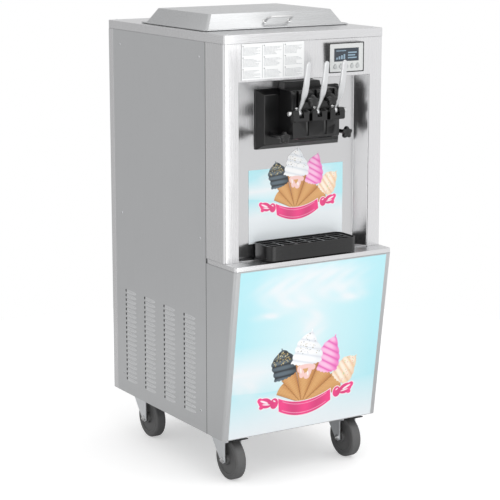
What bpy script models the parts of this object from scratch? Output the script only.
"""Soft serve machine: a floor-standing three-flavour dispenser on casters.

Metres, +Z up, +Y to the back, X to the right as seen from the front.
The origin is the centre of the whole machine's box, at floor level.
"""
import math

import bmesh
import bpy
from mathutils import Vector

# ---------------------------------------------------------------- driving sizes
GAP = 0.0003            # between pieces that touch
SHEET = 0.002           # cabinet sheet
WIDTH = 0.540           # across the cabinet
DEPTH = 0.693           # front plane of the posts to the back
TOP = 1.311             # top of the top cover
SKIRT = 0.140           # lower edge of the panels
COVER_LIP = 0.025       # folded edge of the top cover
SEAM = 0.104            # front pieces end, side panels begin, behind the front plane
REAR_FLANGE = 0.030     # back panel's folded edge
CORNER = 0.009          # radius of the front folds

SHELF = 0.667           # top of the shelf
SHELF_LIP = 0.014
SHELF_OUT = 0.058       # shelf's edge ahead of the front plane
TOE = 0.013             # foot of the slanted panel, behind the front plane

POST = 0.0465           # width of each post
HEADER = 1.179          # underside of the header
RECESS_DEPTH = 0.045
RECESS_SPLAY = 0.0215   # how far each side wall of the recess leans in

TRAY_HALF, TRAY_HEIGHT, TRAY_OUT = 0.152, 0.043, 0.052
TRAY_WALL, TRAY_CORNER = 0.003, 0.022
GRATE_BARS, GRATE_THICK, GRATE_MARGIN, GRATE_BAR = 5, 0.004, 0.012, 0.006

PLATE_HALF, PLATE_LOW, PLATE_HIGH = 0.142, 0.979, 1.151
PLATE_PROUD, PLATE_BEVEL = 0.028, 0.015
TAB_HALF, TAB_HEIGHT = 0.059, 0.018

SPOUT_PITCH = 0.061     # between the three flavours
HEAD_HALF, HEAD_LOW = 0.079, 1.013
HEAD_OUT = 0.057        # head's face ahead of the front plane
HEAD_STEP = 0.007       # upper half of the head stands back by this
CAP_WIDTH, CAP_LOW, CAP_HIGH, CAP_OUT = 0.050, 1.065, 1.098, 0.075
ROD_R, ROD_HALF, ROD_OUT, ROD_Z = 0.004, 0.098, 0.060, 1.089
PLUNGER_R, PLUNGER_OUT, PLUNGER_TOP = 0.008, 0.043, 1.104
BORE_CLEAR = 0.0006     # faceted shafts in faceted bores
LEVER_WIDTH, LEVER_NECK, LEVER_THICK = 0.020, 0.010, 0.008
LEVER_RISE, LEVER_REACH, LEVER_HUB = 0.148, 0.048, 0.0085
LEVER_ARM, ARM_R, NOTCH_CLEAR = 0.014, 0.003, 0.0036

KNOB_R, KNOB_THICK, KNOB_STEM = 0.018, 0.016, 0.006
UPPER_KNOB_X, UPPER_KNOB_Z, UPPER_KNOB_OUT = 0.032, 1.122, 0.096
LOWER_KNOB_X, LOWER_KNOB_Z, LOWER_KNOB_OUT = 0.106, 1.021, 0.064

DISPLAY_X, DISPLAY_Z = (0.072, 0.191), (1.191, 1.274)
DISPLAY_OUT, DISPLAY_EDGE = 0.014, 0.003
SCREEN_X, SCREEN_Z, SCREEN_THICK = (0.089, 0.174), (1.222, 1.259), 0.0012
KEYS, KEY_R, KEY_PITCH, KEY_Z = 5, 0.006, 0.0195, 1.207
KEY_PROUD, KEY_DEEP, KEY_TRAVEL = 0.0018, 0.003, 0.001

LID_HALF, LID_Y = 0.250, (0.140, 0.525)
LID_RIM, LID_SLOPE, LID_RISE, LID_CORNER, LID_SHEET = 0.014, 0.026, 0.042, 0.014, 0.0015
HANDLE_X, HANDLE_HALF, HANDLE_PROUD, HANDLE_R, HANDLE_BEND = 0.009, 0.042, 0.026, 0.0035, 0.012

HOPPER_X, HOPPER_Y, HOPPER_DEEP = (0.014, 0.214), (0.195, 0.470), 0.148
HOPPER_FLANGE, HOPPER_CORNER, HOPPER_SHEET = 0.010, 0.020, 0.0015

BARREL_R, BARREL_BORE, BARREL_LONG, BARREL_Z = 0.056, 0.050, 0.300, 1.090
SHAFT_R, SHAFT_CLEAR, BLADE_CLEAR = 0.007, 0.001, 0.002
MOTOR_SIZE = (0.100, 0.150, 0.110)

PAN_FLOOR, PAN_LIP, PAN_SHEET, PAN_INSET = 0.157, 0.025, 0.003, 0.0125
COMPRESSOR_R, COMPRESSOR_TALL = 0.085, 0.260
COMPRESSOR_IN = (0.160, 0.193)      # its centre from the right side and from the back
CONDENSER_IN, CONDENSER_DEEP = 0.035, 0.050
CONDENSER_Y, CONDENSER_Z, FINS = (0.160, 0.440), (0.195, 0.475), 9
FAN_R, FAN_HUB, FAN_THICK, BLADES, FAN_GAP = 0.115, 0.028, 0.014, 5, 0.008
FAN_MOTOR = 0.040
BOX_X, BOX_Y, BOX_Z = 0.110, (0.200, 0.420), (0.640, 0.860)

LOUVERS, LOUVER_ROWS, LOUVER_PITCH, LOUVER_LOW = 4, 20, 0.015, 0.189
LOUVER_COLUMN, LOUVER_REAR = 0.122, 0.094           # column spacing; first column from the back
LOUVER_OPEN_LONG, LOUVER_OPEN_TALL = 0.007, 0.009   # the open rear end of each pressed louver
BACK_VENTS, BACK_VENT_LONG, BACK_VENT_TALL = 8, 0.150, 0.004
BACK_VENT_PITCH, BACK_VENT_LOW, BACK_VENT_APART = 0.022, 0.520, 0.040

CASTER_IN, CASTER_FRONT, CASTER_REAR = 0.065, 0.113, 0.097   # from the sides, the front plane, the back
WHEEL_R, WHEEL_HALF, TRAIL, AXLE_R = 0.0625, 0.016, 0.038, 0.006
HUB_R, HUB_HALF, AXLE_CLEAR = 0.016, 0.022, 0.0004
FORK_HALF, FORK_SHEET, CROWN_R, CROWN_LOW, CROWN_HIGH = 0.030, 0.004, 0.031, 0.130, 0.144
CASTER_PLATE, PLATE_THICK = (0.080, 0.090), 0.004
PEDAL_AHEAD, PEDAL_Z, PEDAL_LONG, PEDAL_HALF = 0.022, 0.1295, 0.038, 0.023
PEDAL_R, PEDAL_THICK, PEDAL_TILT = 0.004, 0.003, math.radians(8)

GLAND_X, GLAND_Z, GLAND_R, GLAND_OUT = -0.180, 0.230, 0.011, 0.009

# Everything in Y is measured from the front plane of the posts.
FRONT = (ROD_OUT + LEVER_REACH + LEVER_THICK / 2 - DEPTH - GLAND_OUT) / 2
BACK = FRONT + DEPTH
HALF = WIDTH / 2
SPOUTS = {"left": -SPOUT_PITCH, "centre": 0.0, "right": SPOUT_PITCH}
SIDES = {"left": -1, "right": 1}

MATERIALS = {
    "stainless": ((0.62, 0.62, 0.62), 0.32, 1.0),
    "polished_steel": ((0.80, 0.80, 0.80), 0.12, 1.0),
    "zinc": ((0.66, 0.67, 0.68), 0.30, 1.0),
    "black_plastic": ((0.018, 0.018, 0.020), 0.30, 0.0),
    "lever_silver": ((0.78, 0.78, 0.78), 0.38, 0.6),
    "grey_plastic": ((0.72, 0.73, 0.72), 0.45, 0.0),
    "screen_glass": ((0.03, 0.05, 0.08), 0.10, 0.0),
    "wheel_grey": ((0.17, 0.17, 0.17), 0.70, 0.0),
    "printed_panel": ((0.62, 0.86, 0.90), 0.35, 0.0),
    "cast_iron": ((0.03, 0.03, 0.03), 0.60, 0.5),
    "aluminium": ((0.58, 0.59, 0.60), 0.40, 1.0),
}


# ---------------------------------------------------------------- building tools
def clear_scene():
    for item in list(bpy.data.objects):
        bpy.data.objects.remove(item, do_unlink=True)


def material(name):
    made = bpy.data.materials.get(name)
    if made:
        return made
    colour, roughness, metallic = MATERIALS[name]
    made = bpy.data.materials.new(name)
    made.use_nodes = True
    shader = made.node_tree.nodes["Principled BSDF"]
    shader.inputs["Base Color"].default_value = (*colour, 1.0)
    shader.inputs["Roughness"].default_value = roughness
    shader.inputs["Metallic"].default_value = metallic
    return made


def solid(name, verts, faces, finish, origin=(0, 0, 0)):
    """One object from points in world space, with its origin where it is asked for."""
    origin = Vector(origin)
    mesh = bpy.data.meshes.new(name)
    mesh.from_pydata([Vector(v) - origin for v in verts], [], faces)
    work = bmesh.new()
    work.from_mesh(mesh)
    bmesh.ops.remove_doubles(work, verts=work.verts, dist=1e-6)
    bmesh.ops.recalc_face_normals(work, faces=work.faces)
    work.to_mesh(mesh)
    work.free()
    mesh.materials.append(material(finish))
    made = bpy.data.objects.new(name, mesh)
    made.location = origin
    bpy.context.collection.objects.link(made)
    return made


def loft(name, rings, finish, origin=(0, 0, 0), closed=False):
    """Skin over rings of equal count, capped at both ends or closed into a loop."""
    count = len(rings[0])
    verts = [point for ring in rings for point in ring]
    last = len(rings) if closed else len(rings) - 1
    faces = []
    for r in range(last):
        here, there = r * count, ((r + 1) % len(rings)) * count
        for i in range(count):
            j = (i + 1) % count
            faces.append((here + i, here + j, there + j, there + i))
    if not closed:
        faces.append(tuple(range(count)))
        faces.append(tuple(range(last * count, (last + 1) * count)))
    return solid(name, verts, faces, finish, origin)


def block(name, low, high, finish, origin=(0, 0, 0)):
    plan = ((low[0], low[1]), (high[0], low[1]), (high[0], high[1]), (low[0], high[1]))
    return loft(name, along_z(plan, low[2], high[2]), finish, origin)


def along_x(outline, low, high):
    return [[(x, y, z) for y, z in outline] for x in (low, high)]


def along_y(outline, low, high):
    return [[(x, y, z) for x, z in outline] for y in (low, high)]


def along_z(outline, low, high):
    return [[(x, y, z) for x, y in outline] for z in (low, high)]


def circle(centre, radius, sides, turn=0.0):
    step = math.tau / sides
    return [(centre[0] + radius * math.cos(turn + step * i), centre[1] + radius * math.sin(turn + step * i))
            for i in range(sides)]


def rounded(x, y, radius, steps=3):
    """A rectangle with round corners, as points in its own plane."""
    points = []
    for cx, cy, start in ((x[1] - radius, y[1] - radius, 0), (x[0] + radius, y[1] - radius, 90),
                          (x[0] + radius, y[0] + radius, 180), (x[1] - radius, y[0] + radius, 270)):
        for i in range(steps + 1):
            angle = math.radians(start + 90 * i / steps)
            points.append((cx + radius * math.cos(angle), cy + radius * math.sin(angle)))
    return points


def shrunk(span, amount):
    return (span[0] + amount, span[1] - amount)


def turned(name, profile, axis, centre, sides, finish, hollow=False):
    """A profile of (radius, along) points turned about a line through centre; hollow closes it on itself."""
    ring_of = {"X": lambda a, r, s: (a, r * math.cos(s), r * math.sin(s)),
               "Y": lambda a, r, s: (r * math.sin(s), a, r * math.cos(s)),
               "Z": lambda a, r, s: (r * math.cos(s), r * math.sin(s), a)}[axis]
    rings = []
    for radius, along in profile:
        ring = []
        for i in range(sides):
            ring.append(Vector(centre) + Vector(ring_of(along, radius, -math.pi / 2 + math.tau * i / sides)))
        rings.append(ring)
    return loft(name, rings, finish, centre, closed=hollow)


def cutter(made):
    made.hide_render = True
    made.display_type = "WIRE"
    return made


def combine(target, tool, operation):
    cutter(tool)
    change = target.modifiers.new(tool.name, "BOOLEAN")
    change.operation = operation
    change.object = tool
    return target


def soften(target, width, segments=2, angle=40):
    change = target.modifiers.new("edges", "BEVEL")
    change.width = width
    change.segments = segments
    change.limit_method = "ANGLE"
    change.angle_limit = math.radians(angle)
    change.use_clamp_overlap = True
    return target


def smooth(made, angle=35):
    made.data.shade_smooth()
    made.data.set_sharp_from_angle(angle=math.radians(angle))
    return made


def many_boxes(name, boxes):
    """Several separate boxes in one cutter."""
    verts, faces = [], []
    for low, high in boxes:
        first = len(verts)
        verts += [(x, y, z) for x in (low[0], high[0]) for y in (low[1], high[1]) for z in (low[2], high[2])]
        for face in ((0, 1, 3, 2), (4, 6, 7, 5), (0, 4, 5, 1), (2, 3, 7, 6), (0, 2, 6, 4), (1, 5, 7, 3)):
            faces.append(tuple(first + i for i in face))
    return solid(name, verts, faces, "stainless")


def folded(half, front, back, thickness, radius, steps=3):
    """Plan of a sheet folded round the front: back edge, left fold, right fold, back edge."""
    outer, inner = [(-half, back)], [(-half + thickness, back)]
    for cx, start in ((-half + radius, 180), (half - radius, 270)):
        for i in range(steps + 1):
            angle = math.radians(start + 90 * i / steps)
            for line, r in ((outer, radius), (inner, radius - thickness)):
                line.append((cx + r * math.cos(angle), front + radius + r * math.sin(angle)))
    outer.append((half, back))
    inner.append((half - thickness, back))
    return outer + inner[::-1]


def cup(name, x, y, low, high, wall, floor, finish, corner=0.0, origin=(0, 0, 0), upside_down=False):
    """A thin-walled tray, open at the top or, upside down, at the bottom."""
    mouth, closed_end = (low, high) if upside_down else (high, low)
    inside_end = closed_end + (-floor if upside_down else floor)
    rings = []
    for inset, z in ((wall, inside_end), (wall, mouth), (0.0, mouth), (0.0, closed_end)):
        spans = shrunk(x, inset), shrunk(y, inset)
        if corner:
            plan = rounded(*spans, max(corner - inset, corner / 4))
        else:
            plan = [(spans[0][0], spans[1][0]), (spans[0][1], spans[1][0]),
                    (spans[0][1], spans[1][1]), (spans[0][0], spans[1][1])]
        rings.append([(px, py, z) for px, py in plan])
    return loft(name, rings, finish, origin)


def sweep(name, path, radius, sides, finish, across, origin=(0, 0, 0)):
    """A round rod along a flat path; across is the direction square to the path's plane."""
    rings, across = [], Vector(across)
    for i, point in enumerate(path):
        before, after = path[max(i - 1, 0)], path[min(i + 1, len(path) - 1)]
        run = (after - before).normalized()
        side = across.cross(run)
        rings.append([point + radius * (math.cos(a) * across + math.sin(a) * side)
                      for a in (math.tau * k / sides for k in range(sides))])
    return smooth(loft(name, rings, finish, origin))


# ---------------------------------------------------------------- cabinet
def base_pan():
    x = (-HALF + PAN_INSET, HALF - PAN_INSET)
    y = (FRONT + TOE + SHEET + 0.001, BACK - SHEET - GAP)
    cup("base_pan", x, y, PAN_FLOOR, PAN_FLOOR + PAN_LIP, SHEET, PAN_SHEET, "zinc")


def side_panel(name, side):
    flange = PAN_INSET - GAP
    front, back = FRONT + SEAM + GAP, BACK - REAR_FLANGE - GAP
    outer = [(HALF - flange, front), (HALF, front), (HALF, back), (HALF - flange, back)]
    inner = [(HALF - flange, back - SHEET), (HALF - SHEET, back - SHEET),
             (HALF - SHEET, front + SHEET), (HALF - flange, front + SHEET)]
    plan = [(side * x, y) for x, y in outer + inner]
    panel = loft(f"{name}_side_panel", along_z(plan, SKIRT, TOP - COVER_LIP - GAP), "stainless")
    slots = []
    for column in range(LOUVERS):
        rear = BACK - LOUVER_REAR - column * LOUVER_COLUMN
        for row in range(LOUVER_ROWS):
            z = LOUVER_LOW + row * LOUVER_PITCH
            edges = sorted((side * (HALF - 2 * SHEET), side * (HALF + SHEET)))
            slots.append(((edges[0], rear - LOUVER_OPEN_LONG, z - LOUVER_OPEN_TALL / 2),
                          (edges[1], rear, z + LOUVER_OPEN_TALL / 2)))
    combine(panel, many_boxes(f"cut_{name}_louvers", slots), "DIFFERENCE")


def back_panel():
    plan = [(x, -y) for x, y in folded(HALF, -BACK, -BACK + REAR_FLANGE, SHEET, SHEET * 1.5, 1)]
    panel = loft("back_panel", along_z(plan, SKIRT, TOP - COVER_LIP - GAP), "stainless")
    slots = []
    for row in range(BACK_VENTS):
        z = BACK_VENT_LOW + row * BACK_VENT_PITCH
        for side in (-1, 1):
            near = BACK_VENT_APART / 2
            edges = sorted((side * near, side * (near + BACK_VENT_LONG)))
            slots.append(((edges[0], BACK - 2 * SHEET, z), (edges[1], BACK + SHEET, z + BACK_VENT_TALL)))
    combine(panel, many_boxes("cut_back_vents", slots), "DIFFERENCE")
    hole = circle((GLAND_X, GLAND_Z), GLAND_R * 0.7 + GAP, 12)
    tool = loft("cut_gland_hole", along_y(hole, BACK - 2 * SHEET, BACK + SHEET), "stainless")
    combine(panel, tool, "DIFFERENCE")


def cable_gland():
    neck, nose = GLAND_R * 0.7, GLAND_R * 0.55
    profile = [(nose * 0.6, -0.012), (neck, -0.012), (neck, GAP), (GLAND_R, GAP),
               (GLAND_R, GLAND_OUT * 0.6), (nose, GLAND_OUT), (nose * 0.6, GLAND_OUT)]
    profile = [(radius, BACK + along) for radius, along in profile]
    smooth(turned("cable_gland", profile, "Y", (GLAND_X, 0, GLAND_Z), 12, "black_plastic", hollow=True))


def top_cover():
    cover = cup("top_cover", (-HALF, HALF), (FRONT, BACK), TOP - COVER_LIP, TOP, SHEET, SHEET,
                "stainless", corner=0.006, upside_down=True)
    mouths = []
    for side in (-1, 1):
        edges = sorted((side * (HOPPER_X[0] - GAP), side * (HOPPER_X[1] + GAP)))
        mouths.append(((edges[0], FRONT + HOPPER_Y[0] - GAP, TOP - 2 * SHEET),
                       (edges[1], FRONT + HOPPER_Y[1] + GAP, TOP + SHEET)))
    combine(cover, many_boxes("cut_hopper_mouths", mouths), "DIFFERENCE")


def front_frame():
    low, high = SHELF + GAP, TOP - COVER_LIP - GAP
    plan = folded(HALF, FRONT, FRONT + SEAM, SHEET, CORNER)
    frame = loft("front_frame", along_z(plan, low, high), "stainless")
    opening = many_boxes("cut_recess_opening", [((-HALF + POST, FRONT - SHEET, low - SHEET),
                                                 (HALF - POST, FRONT + 2 * SHEET, HEADER))])
    combine(smooth(frame), opening, "DIFFERENCE")


def recess_panel():
    """A pressed pan that lines the recess; its side walls lean in towards the back."""
    rings = []
    mouth, back = FRONT + SHEET + GAP, FRONT + RECESS_DEPTH
    for inset, y, lean in ((SHEET, back, RECESS_SPLAY), (SHEET, mouth, 0.0), (0.0, mouth, 0.0),
                           (0.0, back + SHEET, RECESS_SPLAY)):
        x = HALF - POST - lean - inset
        low, high = SHELF + GAP + inset, HEADER - inset
        rings.append([(-x, y, low), (x, y, low), (x, y, high), (-x, y, high)])
    panel = loft("recess_panel", rings, "stainless")
    for name, side in SIDES.items():
        hole = circle((side * SPOUT_PITCH, BARREL_Z), BARREL_BORE, 20)
        tool = loft(f"cut_{name}_barrel_mouth", along_y(hole, back - SHEET, back + 2 * SHEET), "stainless")
        combine(panel, tool, "DIFFERENCE")


def shelf():
    cup("shelf", (-HALF, HALF), (FRONT - SHELF_OUT, FRONT + SEAM), SHELF - SHELF_LIP, SHELF, SHEET, SHEET,
        "stainless", corner=0.010, upside_down=True)


def lower_front_panel():
    high = SHELF - SHELF_LIP - GAP
    rings = [[(x, y, z) for x, y in folded(HALF, front, FRONT + SEAM, SHEET, CORNER)]
             for z, front in ((SKIRT, FRONT + TOE), (high, FRONT - SHELF_OUT))]
    smooth(loft("lower_front_panel", rings, "printed_panel"))


# ---------------------------------------------------------------- tray, lid and hoppers
def tray_box():
    low = SHELF + SHEET + 2 * GAP
    return (-TRAY_HALF, TRAY_HALF), (FRONT - TRAY_OUT, FRONT + RECESS_DEPTH - GAP), low


def drip_tray():
    x, y, low = tray_box()
    tray = cup("drip_tray", x, y, low, low + TRAY_HEIGHT, TRAY_WALL, TRAY_WALL, "black_plastic",
               corner=TRAY_CORNER, origin=(0, y[0], low))
    ledge_low = low + TRAY_HEIGHT - 2 * GRATE_THICK
    for i, end in enumerate(((-TRAY_HALF + TRAY_WALL / 2), (TRAY_HALF - TRAY_WALL / 2))):
        reach = TRAY_WALL + 0.004
        edges = sorted((end, end - math.copysign(reach, end)))
        ledge = block(f"ledge_{i}", (edges[0], y[0] + TRAY_CORNER, ledge_low - 0.003),
                      (edges[1], y[1] - TRAY_CORNER, ledge_low), "black_plastic")
        combine(tray, ledge, "UNION")
    smooth(tray)


def drip_grate():
    x, y, low = tray_box()
    bottom = low + TRAY_HEIGHT - 2 * GRATE_THICK + GAP
    inset = TRAY_WALL + GAP
    x, y = shrunk(x, inset), shrunk(y, inset)
    plan = rounded(x, y, TRAY_CORNER - inset)
    origin = (0, y[0], bottom)
    grate = loft("drip_grate", along_z(plan, bottom, bottom + GRATE_THICK), "black_plastic", origin)
    field = shrunk(x, GRATE_MARGIN)
    cell = (field[1] - field[0] + GRATE_BAR) / (GRATE_BARS + 1)
    holes = []
    for i in range(GRATE_BARS + 1):
        left = field[0] + i * cell
        for row in range(3):
            deep = (y[1] - y[0] - 2 * GRATE_MARGIN + GRATE_BAR) / 3
            front = y[0] + GRATE_MARGIN + row * deep
            holes.append(((left, front, bottom - 0.002),
                          (left + cell - GRATE_BAR, front + deep - GRATE_BAR, bottom + GRATE_THICK + 0.002)))
    combine(grate, many_boxes("cut_grate_holes", holes), "DIFFERENCE")


def lid_spans(inset):
    y = (FRONT + LID_Y[0], FRONT + LID_Y[1])
    return shrunk((-LID_HALF, LID_HALF), inset), shrunk(y, inset)


def lid_bottom():
    return TOP + HOPPER_SHEET + 2 * GAP


def hopper_lid():
    low = lid_bottom()
    rings = []
    for inset, height, corner in ((LID_RIM + LID_SLOPE + LID_SHEET, LID_RISE, LID_CORNER / 2),
                                  (LID_RIM + LID_SHEET, 0.0, LID_CORNER / 2), (0.0, 0.0, LID_CORNER),
                                  (0.0, LID_SHEET, LID_CORNER), (LID_RIM, LID_SHEET, LID_CORNER / 2),
                                  (LID_RIM + LID_SLOPE, LID_RISE + LID_SHEET, LID_CORNER / 2)):
        rings.append([(x, y, low + height) for x, y in rounded(*lid_spans(inset), corner)])
    smooth(loft("hopper_lid", rings, "stainless", (0, FRONT + LID_Y[0], low)))


def lid_handle():
    """A bow of round rod on the middle of the lid's front slope."""
    slope = Vector((0, LID_SLOPE, LID_RISE)).normalized()
    out = Vector((0, -slope.z, slope.y))
    middle = Vector((HANDLE_X, FRONT + LID_Y[0] + LID_RIM, lid_bottom() + LID_SHEET))
    middle += slope * LID_RISE * 0.45
    foot = middle + out * (GAP + 0.0001)
    path = [foot - Vector((HANDLE_HALF, 0, 0))]
    for side, start in ((-1, 180), (1, 90)):
        centre = foot + Vector((side * (HANDLE_HALF - HANDLE_BEND), 0, 0))
        centre += out * (HANDLE_PROUD - HANDLE_BEND)
        for i in range(5):
            angle = math.radians(start - 90 * i / 4)
            path.append(centre + HANDLE_BEND * (math.cos(angle) * Vector((1, 0, 0)) + math.sin(angle) * out))
    path.append(foot + Vector((HANDLE_HALF, 0, 0)))
    sweep("lid_handle", path, HANDLE_R, 10, "polished_steel", slope, foot)


def hopper(name, side):
    x = tuple(sorted((side * HOPPER_X[0], side * HOPPER_X[1])))
    y = (FRONT + HOPPER_Y[0], FRONT + HOPPER_Y[1])
    low, rim = TOP - HOPPER_DEEP, TOP + GAP
    rings = []
    for inset, z in ((HOPPER_SHEET, low + HOPPER_SHEET), (HOPPER_SHEET, rim + HOPPER_SHEET),
                     (-HOPPER_FLANGE, rim + HOPPER_SHEET), (-HOPPER_FLANGE, rim), (0.0, rim), (0.0, low)):
        plan = rounded(shrunk(x, inset), shrunk(y, inset), HOPPER_CORNER - inset)
        rings.append([(px, py, z) for px, py in plan])
    made = smooth(loft(f"{name}_hopper", rings, "polished_steel"))
    drain = circle((side * SPOUT_PITCH, y[0] + 0.045), 0.012, 12)
    tool = loft(f"cut_{name}_hopper_outlet", along_z(drain, low - 0.002, low + 0.004), "stainless")
    combine(made, tool, "DIFFERENCE")


# ---------------------------------------------------------------- freezing and cooling
def freezing_cylinder(name, side):
    front = FRONT + RECESS_DEPTH + SHEET + GAP
    back = front + BARREL_LONG
    hole = SHAFT_R + SHAFT_CLEAR
    wall = 0.005
    profile = [(BARREL_BORE, front), (BARREL_R, front), (BARREL_R, back), (hole, back),
               (hole, back - wall), (BARREL_BORE, back - wall)]
    centre = (side * SPOUT_PITCH, 0, BARREL_Z)
    smooth(turned(f"{name}_freezing_cylinder", profile, "Y", centre, 20, "polished_steel", hollow=True))


def beater(name, side):
    """A twisted two-start scraper on a shaft, in the freezing cylinder."""
    front = FRONT + RECESS_DEPTH + SHEET + 0.004
    back = front + BARREL_LONG - 0.015
    reach, hub, blade = BARREL_BORE * math.cos(math.pi / 20) - BLADE_CLEAR, SHAFT_R + 0.003, 0.003
    section = [(-hub, -hub), (-blade, -hub), (-blade, -reach), (blade, -reach), (blade, -hub), (hub, -hub),
               (hub, hub), (blade, hub), (blade, reach), (-blade, reach), (-blade, hub), (-hub, hub)]
    steps, turns = 14, 1.0
    rings = []
    for i in range(steps + 1):
        angle, y = math.tau * turns * i / steps, front + (back - front) * i / steps
        rings.append([(side * SPOUT_PITCH + math.cos(angle) * x - math.sin(angle) * z, y,
                       BARREL_Z + math.sin(angle) * x + math.cos(angle) * z) for x, z in section])
    made = loft(f"{name}_beater", rings, "polished_steel", (side * SPOUT_PITCH, front, BARREL_Z))
    end = front + BARREL_LONG + 0.004
    shaft = circle((side * SPOUT_PITCH, BARREL_Z), SHAFT_R, 12)
    stub = loft(f"{name}_beater_shaft", along_y(shaft, back - 0.004, end), "polished_steel")
    combine(made, stub, "UNION")


def gear_motor(name, side):
    front = FRONT + RECESS_DEPTH + SHEET + BARREL_LONG + 0.010
    wide, deep, tall = MOTOR_SIZE
    x = side * SPOUT_PITCH
    low = (x - wide / 2, front, BARREL_Z - tall / 2)
    high = (x + wide / 2, front + deep * 0.45, BARREL_Z + tall / 2)
    case = block(f"{name}_gear_motor", low, high, "cast_iron")
    can = loft(f"{name}_motor_can",
               along_y(circle((x, BARREL_Z), wide * 0.46, 16), front + deep * 0.4, front + deep), "cast_iron")
    combine(case, can, "UNION")


def compressor():
    centre = (HALF - COMPRESSOR_IN[0], BACK - COMPRESSOR_IN[1], PAN_FLOOR + PAN_SHEET + GAP)
    r, tall, dome = COMPRESSOR_R, COMPRESSOR_TALL, 0.045
    profile = [(r * 0.9, 0.0), (r * 0.9, 0.006), (r * 0.8, 0.012), (r, dome), (r, tall - dome),
               (r * 0.85, tall - dome * 0.4), (r * 0.5, tall - dome * 0.08), (r * 0.2, tall)]
    smooth(turned("compressor", profile, "Z", centre, 20, "cast_iron"))


def condenser_sides():
    """The condenser's faces towards the left panel and towards the fan."""
    return -HALF + CONDENSER_IN, -HALF + CONDENSER_IN + CONDENSER_DEEP


def condenser():
    """Finned block with the arms that carry the fan's motor."""
    outside, inside = condenser_sides()
    y = (FRONT + CONDENSER_Y[0], FRONT + CONDENSER_Y[1])
    core = block("condenser", (outside, y[0], CONDENSER_Z[0]), (inside, y[1], CONDENSER_Z[1]), "aluminium")
    pitch = (y[1] - y[0]) / FINS
    grooves = [((outside - 0.001, y[0] + (i + 0.35) * pitch, CONDENSER_Z[0] + 0.012),
                (outside + 0.014, y[0] + (i + 0.65) * pitch, CONDENSER_Z[1] - 0.012)) for i in range(FINS)]
    combine(core, many_boxes("cut_fins", grooves), "DIFFERENCE")
    middle_y, middle_z = sum(y) / 2, sum(CONDENSER_Z) / 2
    motor = inside + FAN_GAP * 2 + FAN_THICK
    bar, plate = 0.010, 0.004
    root = inside - plate
    low, high = CONDENSER_Z
    arm = [(root, low + bar), (root, low), (motor + plate, low), (motor + plate, high),
           (root, high), (root, high - bar), (motor, high - bar), (motor, low + bar)]
    combine(core, loft("fan_bracket", along_y(arm, middle_y - bar, middle_y + bar), "aluminium"), "UNION")
    can = circle((middle_y, middle_z), FAN_HUB, 16)
    combine(core, loft("fan_motor", along_x(can, motor, motor + FAN_MOTOR), "aluminium"), "UNION")


def condenser_fan():
    """Five pitched blades round a hub, turning about X."""
    middle = (FRONT + sum(CONDENSER_Y) / 2, sum(CONDENSER_Z) / 2)
    front = condenser_sides()[1] + FAN_GAP
    rings = []
    share, pitch = math.tau / BLADES, math.radians(16)
    for x, turn in ((front, 0.0), (front + FAN_THICK, pitch)):
        ring = []
        for blade in range(BLADES):
            start = blade * share + turn
            for radius, angle in ((FAN_HUB, 0.05), (FAN_R * 0.7, 0.10), (FAN_R, 0.16), (FAN_R, 0.24),
                                  (FAN_R * 0.7, 0.21), (FAN_HUB, 0.30), (FAN_HUB, 0.75)):
                a = start + angle * share * 2
                ring.append((x, middle[0] + radius * math.cos(a), middle[1] + radius * math.sin(a)))
        rings.append(ring)
    loft("condenser_fan", rings, "aluminium", (front, *middle))


def control_box():
    x = HALF - SHEET - GAP
    soften(block("control_box", (x - BOX_X, FRONT + BOX_Y[0], BOX_Z[0]), (x, FRONT + BOX_Y[1], BOX_Z[1]),
                 "grey_plastic"), 0.004, 1)


# ---------------------------------------------------------------- dispensing head
def head_plate():
    """Freezer door: a bevelled black plate with a raised tab along its top."""
    back, front = FRONT + RECESS_DEPTH - GAP, FRONT + RECESS_DEPTH - PLATE_PROUD
    rings = []
    for y, inset in ((back, 0.0), (back - 0.004, 0.0), (front, PLATE_BEVEL)):
        x, z = PLATE_HALF - inset, (PLATE_LOW + inset, PLATE_HIGH - inset)
        rings.append([(-x, y, z[0]), (x, y, z[0]), (x, y, z[1]), (-x, y, z[1])])
    plate = loft("head_plate", rings, "black_plastic")
    base, low = TAB_HALF + TAB_HEIGHT / 2, PLATE_HIGH - PLATE_BEVEL - 0.004
    high = PLATE_HIGH + TAB_HEIGHT
    outline = [(-base, low), (base, low), (TAB_HALF, high), (-TAB_HALF, high)]
    combine(plate, loft("plate_tab", along_y(outline, front - 0.003, back), "black_plastic"), "UNION")


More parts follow.
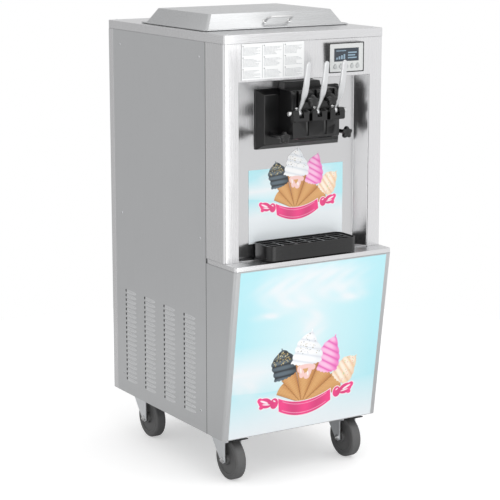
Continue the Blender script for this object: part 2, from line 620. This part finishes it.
def dispensing_head():
    """The block that carries three spouts, with a cap over each lever's root."""
    back, face = FRONT + RECESS_DEPTH - PLATE_PROUD - GAP, FRONT - HEAD_OUT
    step = PLATE_HIGH - PLATE_BEVEL - 0.005
    upper, under_tab = face + HEAD_STEP, back - 0.004
    outline = [(back, HEAD_LOW), (face + 0.006, HEAD_LOW), (face, HEAD_LOW + 0.006), (face, CAP_HIGH),
               (upper, CAP_HIGH), (upper, PLATE_HIGH - 0.008), (upper + 0.008, PLATE_HIGH),
               (under_tab, PLATE_HIGH), (under_tab, step), (back, step)]
    head = loft("dispensing_head", along_x(outline, -HEAD_HALF, HEAD_HALF), "black_plastic")
    cap_front = FRONT - CAP_OUT
    rod = (FRONT - ROD_OUT, ROD_Z)
    slot_half = LEVER_NECK / 2 + 0.0025
    slots = []
    for name, x in SPOUTS.items():
        cap_outline = [(face + 0.003, CAP_LOW), (cap_front + 0.004, CAP_LOW), (cap_front, CAP_LOW + 0.004),
                       (cap_front, CAP_HIGH - 0.006), (cap_front + 0.006, CAP_HIGH), (face + 0.003, CAP_HIGH)]
        half = CAP_WIDTH / 2
        cap = loft(f"{name}_cap", along_x(cap_outline, x - half, x + half), "black_plastic")
        combine(head, cap, "UNION")
        slots.append(((x - slot_half, cap_front - 0.005, ROD_Z - LEVER_HUB - 0.004),
                      (x + slot_half, FRONT - PLUNGER_OUT, CAP_HIGH + 0.014)))
    for side in (-1, 1):
        groove = side * SPOUT_PITCH / 2
        slots.append(((groove - 0.0045, face - 0.005, HEAD_LOW + 0.010),
                      (groove + 0.0045, face + 0.005, CAP_HIGH + 0.002)))
    combine(head, many_boxes("cut_slots", slots), "DIFFERENCE")
    for name, x in SPOUTS.items():
        bore = circle((x, FRONT - PLUNGER_OUT), PLUNGER_R + BORE_CLEAR, 16)
        tool = loft(f"cut_{name}_bore", along_z(bore, HEAD_LOW - 0.005, PLATE_HIGH + 0.005), "black_plastic")
        combine(head, tool, "DIFFERENCE")
    hole = loft("cut_rod_hole", along_x(circle(rod, ROD_R + GAP, 10), -ROD_HALF, ROD_HALF), "black_plastic")
    combine(head, hole, "DIFFERENCE")


def lever_pivot_rod():
    head = ROD_R + 0.003
    end, clear = ROD_HALF, HEAD_HALF + 0.008
    profile = [(head * 0.7, -end), (head, -end + 0.002), (head, -clear), (ROD_R, -clear), (ROD_R, clear),
               (head, clear), (head, end - 0.002), (head * 0.7, end)]
    smooth(turned("lever_pivot_rod", profile, "X", (0, FRONT - ROD_OUT, ROD_Z), 10, "polished_steel"))


def draw_lever(name, x):
    """A flat silver handle: thin neck on the hub, wide blade above, leaning forward."""
    pivot = Vector((x, FRONT - ROD_OUT, ROD_Z))
    stations = ((0.03, 0.02, LEVER_NECK), (0.12, 0.19, LEVER_NECK), (0.24, 0.42, LEVER_WIDTH * 0.72),
                (0.34, 0.57, LEVER_WIDTH), (0.55, 0.76, LEVER_WIDTH * 0.95), (0.78, 0.88, LEVER_WIDTH * 0.88),
                (0.94, 0.965, LEVER_WIDTH * 0.78), (1.0, 1.0, LEVER_WIDTH * 0.52))
    path = [pivot + Vector((0, -reach * LEVER_REACH, rise * LEVER_RISE)) for rise, reach, wide in stations]
    rings = []
    for i, (rise, reach, wide) in enumerate(stations):
        run = (path[min(i + 1, len(path) - 1)] - path[max(i - 1, 0)]).normalized()
        out = Vector((1, 0, 0)).cross(run)
        half, thick, edge = wide / 2, LEVER_THICK / 2, LEVER_THICK * 0.3
        flat = half - edge
        section = ((-half, thick - edge), (-flat, thick), (flat, thick), (half, thick - edge),
                   (half, -thick + edge), (flat, -thick), (-flat, -thick), (-half, -thick + edge))
        rings.append([path[i] + Vector((a, 0, 0)) + out * b for a, b in section])
    lever = smooth(loft(f"{name}_lever", rings, "lever_silver", pivot), 50)
    centre = (pivot.y, pivot.z)
    half = LEVER_NECK / 2
    drum = circle(centre, LEVER_HUB, 16)
    hub = loft(f"{name}_lever_hub", along_x(drum, x - half, x + half), "lever_silver")
    tip = (pivot.y + LEVER_ARM, pivot.z)
    arm = [(pivot.y, pivot.z - ARM_R)]
    arm += [(tip[0] + ARM_R * math.cos(a), tip[1] + ARM_R * math.sin(a))
            for a in (math.radians(-90 + 30 * k) for k in range(7))]
    arm.append((pivot.y, pivot.z + ARM_R))
    finger = loft(f"{name}_lever_arm", along_x(arm, x - half * 0.8, x + half * 0.8), "lever_silver")
    hole = circle(centre, ROD_R + BORE_CLEAR, 12)
    bore = loft(f"cut_{name}_lever_bore", along_x(hole, x - LEVER_NECK, x + LEVER_NECK), "lever_silver")
    combine(lever, hub, "UNION")
    combine(lever, finger, "UNION")
    combine(lever, bore, "DIFFERENCE")


def draw_plunger(name, x):
    """Steel valve rod; the lever's finger sits in its notch."""
    centre = (x, FRONT - PLUNGER_OUT)
    rings = [[(px, py, z) for px, py in circle(centre, radius, 16)]
             for radius, z in ((PLUNGER_R * 0.7, HEAD_LOW + 0.006), (PLUNGER_R, HEAD_LOW + 0.012),
                               (PLUNGER_R, PLUNGER_TOP - 0.002), (PLUNGER_R * 0.75, PLUNGER_TOP))]
    plunger = loft(f"{name}_plunger", rings, "polished_steel", (*centre, HEAD_LOW + 0.006))
    deep = FRONT - ROD_OUT + LEVER_ARM + ARM_R + 0.0015
    high = ARM_R + NOTCH_CLEAR
    wide = PLUNGER_R * 1.2
    notch = many_boxes(f"cut_{name}_notch", [((x - wide, centre[1] - wide, ROD_Z - high),
                                              (x + wide, deep, ROD_Z + high))])
    combine(plunger, notch, "DIFFERENCE")


def star_knob(name, x, z, out, seat):
    """Five-lobed knob on a stem that ends at the face it clamps."""
    lobes, steps = 5, 4
    front = FRONT - out
    rings = []
    for scale, y in ((0.86, front), (1.0, front + 0.003), (1.0, front + KNOB_THICK - 0.003),
                     (0.80, front + KNOB_THICK)):
        ring = []
        for i in range(lobes * steps):
            a = math.tau * i / (lobes * steps)
            radius = scale * KNOB_R * (0.86 + 0.14 * math.cos(lobes * a))
            ring.append((x + radius * math.sin(a), y, z + radius * math.cos(a)))
        rings.append(ring)
    knob = smooth(loft(name, rings, "black_plastic", (x, seat, z)), 50)
    pin = circle((x, z), KNOB_STEM, 10)
    stem = loft(f"{name}_stem", along_y(pin, front + KNOB_THICK - 0.004, seat - GAP), "black_plastic")
    combine(knob, stem, "UNION")


def star_knobs():
    upper_seat = FRONT - HEAD_OUT + HEAD_STEP
    lower_seat = FRONT + RECESS_DEPTH - PLATE_PROUD
    for name, side in SIDES.items():
        star_knob(f"upper_{name}_knob", side * UPPER_KNOB_X, UPPER_KNOB_Z, UPPER_KNOB_OUT, upper_seat)
        star_knob(f"lower_{name}_knob", side * LOWER_KNOB_X, LOWER_KNOB_Z, LOWER_KNOB_OUT, lower_seat)


# ---------------------------------------------------------------- display
def key_places():
    middle = sum(SCREEN_X) / 2
    return [middle + (i - (KEYS - 1) / 2) * KEY_PITCH for i in range(KEYS)]


def display():
    face, seat = FRONT - DISPLAY_OUT, FRONT - GAP
    outline = [(x, z) for x, z in rounded(DISPLAY_X, DISPLAY_Z, DISPLAY_EDGE, 2)]
    housing = loft("display_housing", along_y(outline, face, seat), "grey_plastic")
    pocket = many_boxes("cut_screen_pocket",
                        [((SCREEN_X[0] - GAP, face - 0.001, SCREEN_Z[0] - GAP),
                          (SCREEN_X[1] + GAP, face + SCREEN_THICK + 2 * GAP, SCREEN_Z[1] + GAP))])
    combine(housing, pocket, "DIFFERENCE")
    block("display_screen", (SCREEN_X[0], face + GAP, SCREEN_Z[0]),
          (SCREEN_X[1], face + GAP + SCREEN_THICK, SCREEN_Z[1]), "screen_glass")
    for i, x in enumerate(key_places(), 1):
        well = circle((x, KEY_Z), KEY_R + GAP, 12)
        bottom = face + KEY_DEEP + KEY_TRAVEL + GAP
        cut = loft(f"cut_key_well_{i}", along_y(well, face - 0.001, bottom), "grey_plastic")
        combine(housing, cut, "DIFFERENCE")
        cap = circle((x, KEY_Z), KEY_R, 12)
        loft(f"key_{i}", along_y(cap, face - KEY_PROUD, face + KEY_DEEP), "grey_plastic", (x, face, KEY_Z))


# ---------------------------------------------------------------- casters
def caster_plate(name, x, y):
    across, along = CASTER_PLATE
    high = PAN_FLOOR - GAP
    plate = block(f"{name}_caster_plate", (x - across / 2, y - along / 2, high - PLATE_THICK),
                  (x + across / 2, y + along / 2, high), "zinc")
    ring = circle((x, y), CROWN_R, 20)
    race = loft(f"{name}_race", along_z(ring, CROWN_HIGH + GAP, high - PLATE_THICK / 2), "zinc")
    combine(plate, race, "UNION")


def fork(name, x, y, braked):
    """Two legs under a round crown; the axle is riveted across them, ahead of the swivel."""
    axle = y - TRAIL
    nose = axle - PEDAL_AHEAD - PEDAL_R - 0.003 if braked else axle - AXLE_R - 0.008
    reach = AXLE_R + 0.006
    leg = [(axle - reach, WHEEL_R - reach * 0.5), (axle, WHEEL_R - reach),
           (axle + reach, WHEEL_R - reach * 0.5), (y + CROWN_R, CROWN_LOW - 0.004),
           (y + CROWN_R, CROWN_LOW + 0.007), (nose, CROWN_LOW + 0.007),
           (nose, PEDAL_Z - PEDAL_R - 0.003), (axle - reach, PEDAL_Z - PEDAL_R - 0.010)]
    made = loft(f"{name}_fork", along_x(leg, x - FORK_HALF, x + FORK_HALF), "zinc", (x, y, CROWN_LOW))
    inner = FORK_HALF - FORK_SHEET
    ahead, behind, above = axle - 2 * WHEEL_R, y + 2 * WHEEL_R, 2 * CROWN_HIGH
    space = [(ahead, 0.0), (behind, 0.0), (behind, CROWN_LOW), (y - CROWN_R, CROWN_LOW),
             (y - CROWN_R, above), (ahead, above)]
    gap = loft(f"cut_{name}_wheel_gap", along_x(space, x - inner, x + inner), "zinc")
    combine(made, gap, "DIFFERENCE")
    disc = circle((x, y), CROWN_R - 0.0005, 20)
    crown = loft(f"{name}_crown", along_z(disc, CROWN_LOW + 0.0005, CROWN_HIGH), "zinc")
    combine(made, crown, "UNION")
    pin = circle((axle, WHEEL_R), AXLE_R, 12)
    end = FORK_HALF + 0.004
    combine(made, loft(f"{name}_axle", along_x(pin, x - end, x + end), "zinc"), "UNION")


def wheel(name, x, y):
    bore = AXLE_R + AXLE_CLEAR
    half = [(bore, HUB_HALF), (HUB_R, HUB_HALF), (HUB_R + 0.002, WHEEL_HALF - 0.004),
            (WHEEL_R - 0.006, WHEEL_HALF), (WHEEL_R, WHEEL_HALF - 0.005)]
    profile = half + [(radius, -along) for radius, along in reversed(half)]
    smooth(turned(f"{name}_wheel", profile, "X", (x, y - TRAIL, WHEEL_R), 28, "wheel_grey", hollow=True))


def brake_pedal(name, x, y):
    """Foot lever on a barrel between the fork's legs, ahead of the wheel."""
    pivot = Vector((x, y - TRAIL - PEDAL_AHEAD, PEDAL_Z))
    out = Vector((0, -math.cos(PEDAL_TILT), math.sin(PEDAL_TILT)))
    up = Vector((0, math.sin(PEDAL_TILT), math.cos(PEDAL_TILT)))
    outline = []
    for i in range(8):
        a = math.radians(20 + 320 * i / 7)
        outline.append(pivot + PEDAL_R * (math.cos(a) * out + math.sin(a) * up))
    outline.append(pivot + out * PEDAL_LONG - up * PEDAL_THICK / 2)
    outline.append(pivot + out * PEDAL_LONG + up * PEDAL_THICK / 2)
    outline = [(point.y, point.z) for point in outline]
    loft(f"{name}_brake_pedal", along_x(outline, x - PEDAL_HALF, x + PEDAL_HALF), "black_plastic", pivot)


def casters():
    for end, y in (("front", FRONT + CASTER_FRONT), ("rear", BACK - CASTER_REAR)):
        for name, side in SIDES.items():
            place = (f"{end}_{name}", side * (HALF - CASTER_IN), y)
            caster_plate(*place)
            fork(*place, braked=end == "front")
            wheel(*place)
            if end == "front":
                brake_pedal(*place)


# ---------------------------------------------------------------- machine
def build():
    clear_scene()
    base_pan()
    for name, side in SIDES.items():
        side_panel(name, side)
        hopper(name, side)
        freezing_cylinder(name, side)
        beater(name, side)
        gear_motor(name, side)
    for piece in (back_panel, cable_gland, top_cover, front_frame, recess_panel, shelf, lower_front_panel,
                  drip_tray, drip_grate, hopper_lid, lid_handle, compressor, condenser, condenser_fan,
                  control_box, head_plate, dispensing_head, lever_pivot_rod, star_knobs, display, casters):
        piece()
    for name, x in SPOUTS.items():
        draw_lever(name, x)
        draw_plunger(name, x)


build()
